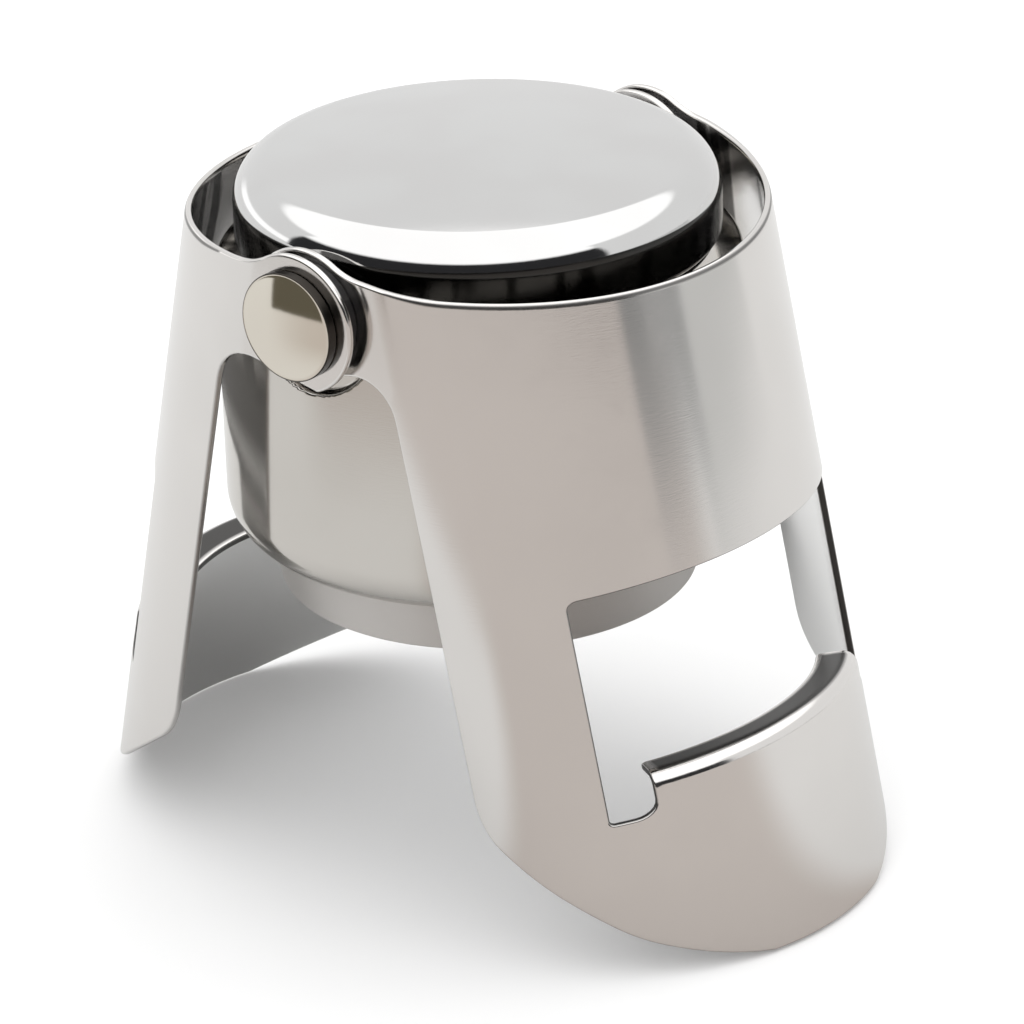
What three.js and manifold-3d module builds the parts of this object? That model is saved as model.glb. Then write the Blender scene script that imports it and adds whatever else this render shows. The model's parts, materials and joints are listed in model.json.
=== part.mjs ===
// Champagne stopper: a domed cap and cup, a sprung seal, and two skirt wings on riveted pivots.
// Millimetres, +Z up. The pivot line runs along Y, the wings open towards +X and -X.
import * as THREE from 'three';
import { mergeVertices } from 'three/addons/utils/BufferGeometryUtils.js';
import Module from 'manifold-3d';

const wasm = await Module();
wasm.setup();

// Wing sheet
const wingSheet = 0.6;
const wingClearance = 1.7;
const wingBendRadius = 10.0;
const openAngle = 12;
const earRadius = 5.5;
const earFoot = 4.6;
const earFilletRadius = 6.0;
const rimHeight = 4.6;
const rimFallShare = 0.29;
const legEdge = 6.8;
const legTopFillet = 3.5;
const legFootRise = 14.6;
const legFootRadius = 6.0;
const footBendRun = 5.5;
const footBendRise = 4.3;
const footBendRadius = 20.0;
const footInset = 1.0;
const footDrop = 55.7;

// Window and catch lip
const windowDepth = 6.8;
const windowTopDrop = 23.8;
const notchDepth = 4.3;
const notchDrop = 2.1;
const notchRadius = 1.1;
const lipRise = 16.0;
const lipBendRadius = 1.2;
const lipDepth = 3.2;
const lipHalfAngle = 35.6;
const lipLap = 1.0;
const lipEdgeRadius = 0.2;

// Cup and dome
const cupRadius = 20.6;
const cupSheet = 1.0;
const cupTop = 3.4;
const wellTop = 0.2;
const wellInset = 8.1;
const cupTopRadius = 0.4;
const neckLedge = 0.2;
const neckHeight = 4.4;
const cupStraightDrop = 20.1;
const cupFootRadius = 3.7;
const cupFootAngle = 66;
const domeStep = 1.6;
const domeSheet = 1.0;
const domeSide = 0.3;
const shoulderRadius = 3.0;
const crownAngle = 7;

// Pivots
const flatDepth = 0.75;
const flatMargin = 1.2;
const spacerThickness = 0.25;
const spacerRadius = 4.4;
const shimThickness = 0.69;
const earGap = 0.07;
const rivetRadius = 1.6;
const rivetRun = 0.05;
const rivetHeadRadius = 4.3;
const rivetHeadSide = 0.51;
const rivetBevel = 0.3;
const rivetHeadRise = 0.25;
const backPlateRadius = 2.3;
const backPlateThickness = 0.55;
const backPlateGap = 0.85;
const tailRadius = 2.05;
const tailThickness = 0.8;
const fixedGap = 0.03;

// Sprung seal
const travel = 3.0;
const tierGap = 0.45;
const tierSheet = 0.7;
const tierTopDrop = 19.6;
const tierStraightDrop = 23.6;
const tierFootDrop = 28.0;
const tierTaper = 1.0;
const tierFlangeGap = 0.7;
const tierEdgeRadius = 0.3;
const sealGap = 0.05;
const sealPlateThickness = 0.8;
const sealSideGap = 0.4;
const sealThickness = 2.4;
const plugRadius = 8.2;
const plugTopRadius = 8.8;
const plugHeight = 1.9;
const plugEdgeRadius = 0.6;
const sealWasherRadius = 6.0;
const sealWasherThickness = 0.6;
const screwRadius = 2.05;
const screwRun = 0.06;
const screwHeadRadius = 4.3;
const screwHeadSide = 0.5;
const screwHeadRise = 0.6;
const screwEndGap = 0.35;
const bushRadius = 3.9;
const bushFlangeRadius = 5.2;
const bushFlangeThickness = 0.9;
const bumperRadius = 5.0;
const bumperThickness = 0.5;
const nutWidth = 7.0;
const nutSides = 6;
const nutHeight = 2.0;
const seatOuterRadius = 9.0;
const seatThickness = 0.7;
const seatEdgeGap = 0.3;
const springRadius = 7.0;
const springWire = 1.3;
const springTurns = 7;

// Counts and cuts
const roundStep = 6;
const smallSegments = 24;
const arcSteps = 4;
const wireSides = 5;
const curlSteps = 8;
const overrun = 2.0;

const rad = THREE.MathUtils.degToRad;
const point = (x, y) => new THREE.Vector2(x, y);
const turnsInRing = Math.round(360 / roundStep);

// Places across the pivot line, from the axis of the cup outwards
const cupInner = cupRadius - cupSheet;
const flatFace = cupRadius - flatDepth;
const innerEarFace = flatFace + spacerThickness + earGap;
const shimFace = innerEarFace + wingSheet + earGap;
const outerEarFace = shimFace + shimThickness + earGap;
const headFace = outerEarFace + wingSheet + earGap;
const wingRadius = cupRadius + wingClearance + wingSheet;

// Drop of the root of the catch lip, which keeps its height above the foot
const lipDrop = footDrop - lipRise;

// Radii that follow the cup
const domeRadius = cupRadius - domeStep;
const neckRadius = domeRadius + neckLedge;
const neckFoot = cupTop - neckHeight;
const wellRadius = cupRadius - wellInset;
const cupFootMiddle = cupRadius - cupFootRadius;
const cupMouth = cupFootMiddle + (cupFootRadius - cupSheet) * Math.cos(rad(cupFootAngle));
const tierRadius = cupMouth - tierGap;
const tierFlangeRadius = cupInner - tierFlangeGap;
const tierFootRadius = tierRadius - tierTaper;

// Points along an arc, both ends included
function arc(x, y, radius, from, to, steps) {
  return Array.from({ length: steps + 1 }, (_, i) => {
    const a = from + ((to - from) * i) / steps;
    return point(x + radius * Math.cos(a), y + radius * Math.sin(a));
  });
}

// A chain of corners [x, y, radius], each rounded by its radius
function rounded(corners) {
  return corners.flatMap(([x, y, radius], i) => {
    if (!radius) return [point(x, y)];
    const here = point(x, y);
    const back = point(...corners[i - 1]).sub(here).normalize();
    const ahead = point(...corners[i + 1]).sub(here).normalize();
    const half = Math.acos(back.dot(ahead)) / 2;
    const middle = back.clone().add(ahead).normalize();
    const centre = here.clone().addScaledVector(middle, radius / Math.sin(half));
    const first = here.clone().addScaledVector(back, radius / Math.tan(half)).sub(centre);
    const last = here.clone().addScaledVector(ahead, radius / Math.tan(half)).sub(centre);
    const sweep = Math.atan2(first.cross(last), first.dot(last));
    const start = Math.atan2(first.y, first.x);
    return arc(centre.x, centre.y, radius, start, start + sweep, arcSteps);
  });
}

// Profile of a shallow cap from its edge to the axis, bulging up or, with a negative rise, down
function shallowCap(radius, height, rise) {
  const sphere = (radius ** 2 + rise ** 2) / (2 * rise);
  const edge = Math.asin(radius / Math.abs(sphere));
  const steps = arcSteps / 2;
  return Array.from({ length: steps + 1 }, (_, i) => {
    const a = edge * (1 - i / steps);
    return point(Math.abs(sphere) * Math.sin(a), height + rise - sphere * (1 - Math.cos(a)));
  });
}

// Closed solid from a three.js geometry, for cutting and joining
function solid(geometry) {
  const bare = geometry.clone();
  bare.deleteAttribute('normal');
  bare.deleteAttribute('uv');
  const merged = mergeVertices(bare);
  const index = merged.index.array;
  const kept = [];
  for (let i = 0; i < index.length; i += 3) {
    const [a, b, c] = index.slice(i, i + 3);
    if (a !== b && b !== c && c !== a) kept.push(a, b, c);
  }
  return new wasm.Manifold(new wasm.Mesh({
    numProp: 3,
    vertProperties: new Float32Array(merged.attributes.position.array),
    triVerts: new Uint32Array(kept),
  }));
}

function geometryOf(manifold) {
  const mesh = manifold.getMesh();
  const geometry = new THREE.BufferGeometry();
  geometry.setAttribute('position', new THREE.BufferAttribute(mesh.vertProperties, 3));
  geometry.setIndex(new THREE.BufferAttribute(mesh.triVerts, 1));
  geometry.computeVertexNormals();
  return geometry;
}

// Turned solid about Z from a profile of radius and height
function turned(profile, segments = smallSegments) {
  return new THREE.LatheGeometry(profile, segments).rotateX(Math.PI / 2);
}

// Ring with square edges, from height low to high
function ring(inner, outer, low, high) {
  const corners = [point(inner, low), point(outer, low), point(outer, high), point(inner, high)];
  return turned([...corners, corners[0]]);
}

// Upright prism of a plan outline
function upright(points, low, high) {
  const settings = { depth: high - low, bevelEnabled: false };
  return new THREE.ExtrudeGeometry(new THREE.Shape(points), settings).translate(0, 0, low);
}

// Prism of a side outline, running across the whole width in Y
function across(points, width) {
  const settings = { depth: width, bevelEnabled: false };
  const prism = new THREE.ExtrudeGeometry(new THREE.Shape(points), settings);
  return prism.rotateX(Math.PI / 2).translate(0, width / 2, 0);
}

// Plan outline of the wing sheet: part of a ring whose ends bend on into flat ears
function wingPlan() {
  const runOn = -earRadius - overrun;
  const step = rad(roundStep);
  const bend = (flat) => {
    const middle = wingRadius - wingBendRadius;
    const across = flat - wingBendRadius;
    return point(Math.sqrt(middle ** 2 - across ** 2), across);
  };
  const front = bend(innerEarFace + wingSheet);
  const rear = bend(outerEarFace + wingSheet);
  const side = (inset) => {
    const small = wingBendRadius - inset;
    const first = Math.ceil(-front.angle() / step);
    const last = Math.floor(rear.angle() / step);
    return [
      point(runOn, -front.y - small),
      ...arc(front.x, -front.y, small, -Math.PI / 2, -front.angle(), arcSteps),
      ...arc(0, 0, wingRadius - inset, first * step, last * step, last - first),
      ...arc(rear.x, rear.y, small, rear.angle(), Math.PI / 2, arcSteps),
      point(runOn, rear.y + small),
    ];
  };
  return [...side(0), ...side(wingSheet).reverse()];
}

// Side outline of the wing: ear, sloping rim, leg, slanting foot and the window
function wingSide() {
  const far = wingRadius + overrun;
  const windowReach = wingRadius - windowDepth;
  const notchReach = wingRadius - notchDepth;
  const slant = Math.hypot(1, rimFallShare);
  const up = point(rimFallShare, 1).divideScalar(slant);
  const along = point(1, -rimFallShare).divideScalar(slant);
  const lift = rimHeight / slant + earFilletRadius;
  const slide = Math.sqrt((earRadius + earFilletRadius) ** 2 - lift ** 2);
  const centre = up.clone().multiplyScalar(lift).addScaledVector(along, slide);
  const start = Math.atan2(-up.y, -up.x);
  const toEar = centre.angle();
  const earSide = Math.sqrt(earRadius ** 2 - earFoot ** 2);
  const footReach = wingRadius - footInset;
  const drop = footDrop + (far - footReach) * Math.tan(rad(openAngle));
  return [
    point(far, rimHeight - rimFallShare * far),
    ...arc(centre.x, centre.y, earFilletRadius, start, toEar - Math.PI, arcSteps),
    ...arc(0, 0, earRadius, toEar, Math.PI + Math.asin(earFoot / earRadius), 4 * arcSteps).slice(1),
    ...rounded([[-earSide, -earFoot, 0], [legEdge, -earFoot, legTopFillet],
      [legEdge, legFootRise - footDrop, legFootRadius],
      [footReach - footBendRun, footBendRise - footDrop, footBendRadius],
      [footReach, -footDrop, 0], [far, -drop, 0]]).slice(1),
    point(far, -lipDrop),
    ...rounded([[far, -lipDrop, 0], [notchReach, -lipDrop, 0],
      [notchReach, -lipDrop - notchDrop, notchRadius], [windowReach, -lipDrop - notchDrop, 0],
      [windowReach, -windowTopDrop, 0], [far, -windowTopDrop, 0]]).slice(1),
  ];
}

// Catch lip: the edge under the window bent inwards over a sector
function catchLip() {
  const inner = wingRadius - wingSheet;
  const bend = wingRadius - lipBendRadius;
  const tip = wingRadius - lipDepth;
  const top = lipBendRadius - lipDrop;
  const profile = [
    point(inner, -lipDrop - lipLap), point(wingRadius, -lipDrop - lipLap),
    ...arc(bend, -lipDrop, lipBendRadius, 0, Math.PI / 2, arcSteps),
    ...rounded([[bend, top, 0], [tip, top, lipEdgeRadius], [tip, top - wingSheet, lipEdgeRadius],
      [bend, top - wingSheet, 0]]).slice(1, -1),
    ...arc(bend, -lipDrop, lipBendRadius - wingSheet, Math.PI / 2, 0, arcSteps),
  ];
  const reach = rad(lipHalfAngle);
  const long = wingRadius + overrun;
  const wedge = [point(0, 0), point(long, -long * Math.tan(reach)), point(long, long * Math.tan(reach))];
  const whole = solid(turned([...profile, profile[0]], turnsInRing));
  return whole.intersect(solid(upright(wedge, -lipDrop - wingRadius, wingRadius)));
}

// Round cutter along Y through the middle of the part
function pinHole(radius, length) {
  return solid(new THREE.CylinderGeometry(radius, radius, length, smallSegments));
}

// One wing, upright, with its pivot line on the Y axis
function wing() {
  const long = footDrop + wingRadius;
  const sheet = solid(upright(wingPlan(), -long, long));
  const cut = sheet.intersect(solid(across(wingSide(), 2 * long)));
  const hole = pinHole(rivetRadius + rivetRun, 2 * long);
  return geometryOf(cut.add(catchLip()).subtract(hole));
}

// Outer profile of the dome, or its inner one at a thickness below it
function domeWall(thickness, steps) {
  const side = cupTop + domeSide;
  const slope = rad(crownAngle);
  const middle = domeRadius - shoulderRadius;
  const shoulder = arc(middle, side, shoulderRadius - thickness, 0, Math.PI / 2 - slope, 2 * steps);
  const end = shoulder[shoulder.length - 1];
  const crown = end.x / Math.sin(slope);
  const rise = arc(0, end.y - crown * Math.cos(slope), crown, Math.PI / 2 - slope, Math.PI / 2, steps);
  rise[steps].x = 0;
  return [point(domeRadius - thickness, cupTop), ...shoulder, ...rise.slice(1)];
}

// Drawn dome with a tight shoulder and a low crown, open below
function domeCap() {
  const inner = domeWall(domeSheet, arcSteps / 2);
  return turned([...inner.reverse(), ...domeWall(0, arcSteps)], turnsInRing);
}

// Drawn cup: top plate with a round well, a neck that widens to a straight wall, an inturned foot, and two flats
function outerCup() {
  const hole = bushRadius + fixedGap;
  const end = -rad(cupFootAngle);
  const profile = [
    point(hole, wellTop - cupSheet), point(wellRadius + cupSheet, wellTop - cupSheet),
    point(wellRadius + cupSheet, cupTop - cupSheet), point(neckRadius - cupSheet, cupTop - cupSheet),
    point(cupInner, neckFoot),
    ...arc(cupFootMiddle, -cupStraightDrop, cupFootRadius - cupSheet, 0, end, arcSteps),
    ...arc(cupFootMiddle, -cupStraightDrop, cupFootRadius, end, 0, arcSteps),
    ...rounded([[cupRadius, neckFoot, 0], [neckRadius, cupTop, cupTopRadius], [wellRadius, cupTop, 0]]),
    point(wellRadius, wellTop), point(hole, wellTop),
  ];
  const padRadius = Math.sqrt(cupRadius ** 2 - flatFace ** 2) + flatMargin;
  const backRadius = padRadius + cupSheet;
  const middle = cupRadius - cupSheet / 2;
  const high = cupTop - cupSheet / 2;
  const within = solid(turned([
    point(0, -backRadius), point(middle, -backRadius), point(middle, neckFoot),
    point(neckRadius - cupSheet / 2, high), point(0, high)], turnsInRing));
  let cup = solid(turned([...profile, profile[0]], turnsInRing));
  for (const way of [-1, 1]) {
    const back = new THREE.CylinderGeometry(backRadius, backRadius, cupRadius, 2 * smallSegments);
    back.translate(0, way * (flatFace - cupSheet + cupRadius / 2), 0);
    const pad = new THREE.CylinderGeometry(padRadius, padRadius, overrun, 2 * smallSegments);
    pad.translate(0, way * (flatFace + overrun / 2), 0);
    cup = cup.add(solid(back).intersect(within)).subtract(solid(pad));
  }
  return geometryOf(cup.subtract(pinHole(rivetRadius + fixedGap, 2 * cupRadius + overrun)));
}

// Rivet with a low domed head, standing on Z with its head upwards
function rivet() {
  const tail = flatFace - cupSheet - backPlateGap - backPlateThickness - fixedGap;
  const side = headFace + rivetHeadSide;
  return turned([
    point(0, tail - tailThickness), point(tailRadius, tail - tailThickness),
    point(tailRadius, tail), point(rivetRadius, tail),
    point(rivetRadius, headFace), point(rivetHeadRadius, headFace), point(rivetHeadRadius, side),
    ...shallowCap(rivetHeadRadius - rivetBevel, side + rivetBevel, rivetHeadRise),
  ]);
}

// Clinched plate inside the cup that the tail of the rivet spreads against
function backPlate() {
  const high = flatFace - cupSheet - backPlateGap;
  return ring(rivetRadius + fixedGap, backPlateRadius, high - backPlateThickness, high);
}

// Lower cup that carries the seal and slides in the outer cup
function innerCup() {
  const hole = screwRadius + fixedGap;
  const under = tierTopDrop + tierSheet;
  return turned(rounded([
    [hole, -under, 0], [tierRadius - tierSheet, -under, 0],
    [tierRadius - tierSheet, -tierStraightDrop, 0],
    [tierFootRadius - tierSheet, -tierFootDrop, tierEdgeRadius], [tierFootRadius, -tierFootDrop, tierEdgeRadius],
    [tierRadius, -tierStraightDrop, 0], [tierRadius, -under, 0], [tierFlangeRadius, -under, 0],
    [tierFlangeRadius, -tierTopDrop, 0], [hole, -tierTopDrop, 0], [hole, -under, 0],
  ]), turnsInRing);
}

// Heights of the stack that hangs in the lower cup
const sealRadius = tierFootRadius - tierSheet - sealSideGap;
const sealPlateTop = -(tierTopDrop + tierSheet + sealGap);
const sealPlateFoot = sealPlateTop - sealPlateThickness;
const sealRubberTop = sealPlateFoot - sealGap;
const sealFace = sealRubberTop - sealThickness;
const plugFoot = sealFace - plugHeight;
const washerTop = plugFoot - sealGap;
const washerFoot = washerTop - sealWasherThickness;
const screwHeadTop = washerFoot - sealGap;

// Rubber seal: a flat ring that meets the bottle mouth, with a plug below it
function sealDisc() {
  const hole = screwRadius + screwRun;
  return turned(rounded([
    [hole, plugFoot, 0], [plugRadius, plugFoot, plugEdgeRadius], [plugTopRadius, sealFace, 0],
    [sealRadius, sealFace, 0], [sealRadius, sealRubberTop, 0], [hole, sealRubberTop, 0],
    [hole, plugFoot, 0],
  ]), 2 * smallSegments);
}

// Heights of the stack on the well plate, below and above it
const wellFoot = wellTop - cupSheet;
const bushFlangeTop = wellFoot - sealGap;
const seatFoot = wellFoot - sealGap - seatThickness;
const bumperFoot = wellTop + sealGap;
const nutFoot = bumperFoot + bumperThickness + sealGap;

// Long screw whose low head clamps the seal and whose shank runs up through the bush
function stemScrew() {
  const underDome = domeWall(domeSheet, arcSteps / 2).pop().y;
  const top = underDome - travel - screwEndGap;
  const side = screwHeadTop - screwHeadSide;
  return turned([
    ...shallowCap(screwHeadRadius, side, -screwHeadRise).reverse(),
    point(screwHeadRadius, screwHeadTop), point(screwRadius, screwHeadTop),
    point(screwRadius, top), point(0, top),
  ]);
}

// Hexagon nut on the top of the screw
function stemNut() {
  const corner = nutWidth / 2 / Math.cos(Math.PI / nutSides);
  const bore = screwRadius + fixedGap;
  const hex = new THREE.CylinderGeometry(corner, corner, nutHeight, nutSides);
  const drill = new THREE.CylinderGeometry(bore, bore, nutHeight + overrun, smallSegments);
  const nut = geometryOf(solid(hex).subtract(solid(drill)));
  return nut.rotateX(Math.PI / 2).translate(0, 0, nutFoot + nutHeight / 2);
}

// Flanged bush in the well plate that guides the screw
function guideBush() {
  const bore = screwRadius + screwRun;
  const foot = bushFlangeTop - bushFlangeThickness;
  const corners = [
    point(bore, foot), point(bushFlangeRadius, foot), point(bushFlangeRadius, bushFlangeTop),
    point(bushRadius, bushFlangeTop), point(bushRadius, wellTop), point(bore, wellTop),
  ];
  return turned([...corners, corners[0]]);
}

// Centre line of the compression spring, a plain helix
class Helix extends THREE.Curve {
  constructor(low, high) {
    super();
    this.low = low;
    this.high = high;
  }

  getPoint(share, target = new THREE.Vector3()) {
    const a = 2 * Math.PI * springTurns * share;
    const z = this.low + (this.high - this.low) * share;
    return target.set(springRadius * Math.cos(a), springRadius * Math.sin(a), z);
  }
}

// Least distance between points of the helix that lie half a turn or more apart
function leastGap(helix) {
  const centres = helix.getPoints(curlSteps * springTurns);
  let least = Infinity;
  centres.forEach((here, i) => {
    for (const there of centres.slice(i + curlSteps / 2)) least = Math.min(least, here.distanceTo(there));
  });
  return least - springWire;
}

// Compression spring between the lower cup and its seat under the well plate
function spring() {
  const wire = springWire / 2;
  const helix = new Helix(wire + sealGap - tierTopDrop, seatFoot - wire - sealGap);
  console.log('spring least gap to itself, mm:', leastGap(helix).toFixed(2));
  const lastSide = (2 * Math.PI * (wireSides - 1)) / wireSides;
  const section = new THREE.Shape(arc(0, 0, wire, 0, lastSide, wireSides - 1));
  const settings = { steps: curlSteps * springTurns, bevelEnabled: false, extrudePath: helix };
  return new THREE.ExtrudeGeometry(section, settings);
}

const finish = (name, color, roughness, metalness) => {
  const material = new THREE.MeshStandardMaterial({ color, roughness, metalness });
  material.name = name;
  return material;
};
const metal = (name, color, roughness) => finish(name, color, roughness, 1);
const soft = (name, color, roughness) => finish(name, color, roughness, 0);

const root = new THREE.Group();
root.name = 'champagne_stopper';

function place(name, geometry, material, matrix = new THREE.Matrix4()) {
  const mesh = new THREE.Mesh(geometry.clone().applyMatrix4(matrix), material);
  mesh.name = name;
  root.add(mesh);
  return mesh;
}

// Wings: the same part twice, one turned half round, each swung open
const wingShape = wing();
const swing = (angle) => new THREE.Matrix4().makeRotationY(angle);
const halfTurn = new THREE.Matrix4().makeRotationZ(Math.PI);
const wingRight = place('wing_right', wingShape, metal('wing_right_steel', 0xb9afaa, 0.14),
  swing(-rad(openAngle)));
place('wing_left', wingShape, metal('wing_left_steel', 0xd9d8d5, 0.14),
  swing(rad(openAngle)).multiply(halfTurn));

// Cup, dome and the sprung seal
const snugHole = screwRadius + fixedGap;
place('dome_cap', domeCap(), metal('dome_cap_steel', 0xd0d0d0, 0.1));
place('outer_cup', outerCup(), metal('outer_cup_steel', 0xc8c3bc, 0.16));
place('inner_cup', innerCup(), metal('inner_cup_steel', 0xa8a5a0, 0.22));
place('seal_plate', ring(snugHole, sealRadius, sealPlateFoot, sealPlateTop),
  metal('seal_plate_steel', 0xa9a9a7, 0.35));
place('seal_disc', sealDisc(), soft('seal_disc_rubber', 0x2c2c2e, 0.75));
place('seal_washer', ring(snugHole, sealWasherRadius, washerFoot, washerTop),
  metal('seal_washer_steel', 0xb4b4b2, 0.3));
place('stem_screw', stemScrew(), metal('stem_screw_steel', 0xb8b8b6, 0.28));
place('stem_nut', stemNut(), metal('stem_nut_steel', 0xb0b0ae, 0.35));
place('stem_bumper', ring(snugHole, bumperRadius, bumperFoot, bumperFoot + bumperThickness),
  soft('stem_bumper_rubber', 0x38383a, 0.8));
place('guide_bush', guideBush(), soft('guide_bush_nylon', 0xdedbd2, 0.5));
place('spring_seat', ring(bushFlangeRadius + seatEdgeGap, seatOuterRadius, seatFoot,
  seatFoot + seatThickness), metal('spring_seat_steel', 0xa6a6a4, 0.35));
place('seal_spring', spring(), metal('seal_spring_steel', 0x9a9a98, 0.3));

// Pivot pieces, built with their heads up and laid outwards at the front and the rear
for (const [end, way] of [['front', 1], ['rear', -1]]) {
  const lay = new THREE.Matrix4().makeRotationX((way * Math.PI) / 2);
  const hole = rivetRadius + fixedGap;
  place(`rivet_${end}`, rivet(), metal(`rivet_${end}_nickel`, 0xd4ccc0, 0.2), lay);
  place(`rivet_plate_${end}`, backPlate(), metal(`rivet_plate_${end}_steel`, 0xa6a6a4, 0.35), lay);
  place(`pivot_spacer_${end}`, ring(hole, spacerRadius, flatFace, flatFace + spacerThickness),
    soft(`pivot_spacer_${end}_nylon`, 0x3a3a3c, 0.5), lay);
  place(`pivot_shim_${end}`, ring(hole, spacerRadius, shimFace, shimFace + shimThickness),
    soft(`pivot_shim_${end}_nylon`, 0x3a3a3c, 0.5), lay);
}

// Stand the stopper on the feet of its wings
wingRight.geometry.computeBoundingBox();
const pivotHeight = -wingRight.geometry.boundingBox.min.z;
for (const mesh of root.children) mesh.geometry.translate(0, 0, pivotHeight);
console.log('pivot height', pivotHeight.toFixed(4), 'seal face', (sealFace + pivotHeight).toFixed(4));

export default root;
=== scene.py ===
"""Looks of the champagne stopper: smooth polished sheet metal over the CAD part, in one studio."""

import json
import math

import bpy
import numpy as np
from mathutils import Matrix, Vector
from mathutils.geometry import delaunay_2d_cdt


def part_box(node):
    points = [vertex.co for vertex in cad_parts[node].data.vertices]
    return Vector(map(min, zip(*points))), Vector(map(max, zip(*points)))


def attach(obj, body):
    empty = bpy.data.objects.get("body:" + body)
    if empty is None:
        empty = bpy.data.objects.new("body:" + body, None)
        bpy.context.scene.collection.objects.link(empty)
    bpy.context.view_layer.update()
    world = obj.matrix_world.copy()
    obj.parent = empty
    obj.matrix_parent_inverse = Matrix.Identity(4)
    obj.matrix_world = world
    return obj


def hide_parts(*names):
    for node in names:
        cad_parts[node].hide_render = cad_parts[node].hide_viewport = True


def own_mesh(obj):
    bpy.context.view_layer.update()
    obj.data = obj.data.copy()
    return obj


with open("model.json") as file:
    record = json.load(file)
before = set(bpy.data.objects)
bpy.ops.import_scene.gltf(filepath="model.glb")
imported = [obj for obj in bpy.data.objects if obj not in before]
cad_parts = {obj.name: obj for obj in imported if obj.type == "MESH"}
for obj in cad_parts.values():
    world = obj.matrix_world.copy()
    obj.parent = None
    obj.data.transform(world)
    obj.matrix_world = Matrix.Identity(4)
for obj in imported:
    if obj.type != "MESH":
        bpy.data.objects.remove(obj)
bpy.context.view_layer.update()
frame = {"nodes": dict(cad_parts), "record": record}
NODES = frame["nodes"]

# Lengths are in millimetres and heights are counted from the wings' pivot line, unless they say otherwise
MM = 0.001
RIVET_LOW, RIVET_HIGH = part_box("rivet_front")
PIVOT = (RIVET_LOW.z + RIVET_HIGH.z) / 2 / MM
OPEN = math.radians(12)

# Wing sheet seen from above: a round, a bend at each end, and ears that lie one over the other
SHEET = 0.6
WING_RADIUS = 22.9
WING_BEND = 10.0
EAR_FRONT = 20.77
EAR_REAR = 22.2

# Wing seen along the pivot line: ear, sloping rim, leg, and slanting foot
EAR_RADIUS = 5.5
EAR_FOOT = 4.6
EAR_FILLET = 6.0
PIN_HOLE = 1.65
RIM_HEIGHT = 4.6
RIM_FALL = 0.29
LEG_EDGE = 6.8
LEG_FILLET = 3.5
FOOT_DROP = 55.61
FOOT_RISE = 14.6
FOOT_RADIUS = 6.0
FOOT_INSET = 1.0
FOOT_RUN = 5.5
FOOT_STEP = 4.3
FOOT_BEND = 20.0

# Window with its notches, and the catch lip that stands up from its lower edge
WINDOW_REACH = 16.1
WINDOW_TOP = 23.8
WINDOW_CORNER = 0.6
NOTCH_REACH = 18.6
NOTCH_FOOT = 41.8
NOTCH_CORNER = 0.3
NOTCH_END = 1.1
LIP_DROP = 39.7
LIP_BEND = 1.2
LIP_DEPTH = 3.2
LIP_CORNER = 0.35

# Rounding of the wing's sheared edges, its width along the rim, and the rows of points round one corner.
# The rim's rounding widens between two heights, and narrows again between two lengths from the middle
EDGE = 0.22
RIM_EDGE = 0.5
EDGE_ROWS = 6
RIM_RISE = (-6, -2)
RIM_ENDS = (24, 28)

# Share of the dull finish and painted shade on the sheared edges: on a leg's foot and above it, and on the
# painted shade line along the rim's outer corner
FOOT_DULL_AND_SHADE = 0.1
LEG_DULL_AND_SHADE = 0.45
RIM_DULL_AND_SHADE = 0.8
RIM_LINE_END = 27

# Points laid over the flat wing sheet: steps along it and up it, first point and clearance from the edges,
# and the closer steps round the lip's bend with their reach from the middle and from the lip's root
GRID_STEPS = (0.8, 1.6)
GRID_START = 0.4
GRID_CLEAR = 0.35
LIP_STEPS = (0.7, 0.3)
LIP_REACH = 14
LIP_HEIGHT = 3.6

# Dome
CROWN = math.radians(7)
SHOULDER = 3.0
DOME_SHEET = 0.45
DOME_FOOT = 0.7

# Cup: wall, neck under the dome, well in its top plate, inturned foot, and pads pressed flat at the pivots
CUP_RADIUS = 20.6
CUP_SHEET = 1.0
CUP_TOP = 3.4
NECK_RADIUS = 18.5
NECK_BEND = 0.3
NECK_FOOT = -1.0
WELL_RADIUS = 12.5
WELL_TOP = 0.2
CUP_STRAIGHT = -20.1
CUP_FOOT = 3.7
CUP_FOOT_TURN = math.radians(66)
FLAT_FACE = 19.85
PAD_RADIUS = 6.1
PAD_EDGE = 0.5

# Seal and its spring
STEM_HOLE = 2.08
TRAVEL = 3.0
SPRING_WIRE = 0.65
SPRING_TURNS = 7


def span(node):
    """Radius, foot and top of a CAD node that is round about the axis."""
    low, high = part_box(node)
    return high.x / MM, low.z / MM - PIVOT, high.z / MM - PIVOT


def unit(vectors):
    """Vectors of length 1."""
    return vectors / np.linalg.norm(vectors, axis=-1, keepdims=True)


def arc(x, y, radius, start, end, steps):
    """Points x + radius cos a, y + radius sin a, for angles a from start to end."""
    a = np.linspace(start, end, steps + 1)
    return np.stack([x + radius * np.cos(a), y + radius * np.sin(a)], 1)


def rounded(corners, steps=10):
    """Chain of corners (x, y, radius): each corner gives way to the arc that touches both its sides."""
    chain = []
    for i, (x, y, radius) in enumerate(corners):
        here = np.array([x, y], float)
        if not radius:
            chain.append(here[None])
            continue
        back = unit(np.array(corners[i - 1][:2]) - here)
        ahead = unit(np.array(corners[(i + 1) % len(corners)][:2]) - here)
        half = math.acos(float(np.clip(back @ ahead, -1, 1))) / 2
        centre = here + unit(back + ahead) * radius / math.sin(half)
        first = here + back * radius / math.tan(half) - centre
        last = here + ahead * radius / math.tan(half) - centre
        sweep = math.atan2(first[0] * last[1] - first[1] * last[0], first @ last)
        start = math.atan2(first[1], first[0])
        chain.append(arc(*centre, radius, start, start + sweep, steps))
    return np.concatenate(chain)


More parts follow.
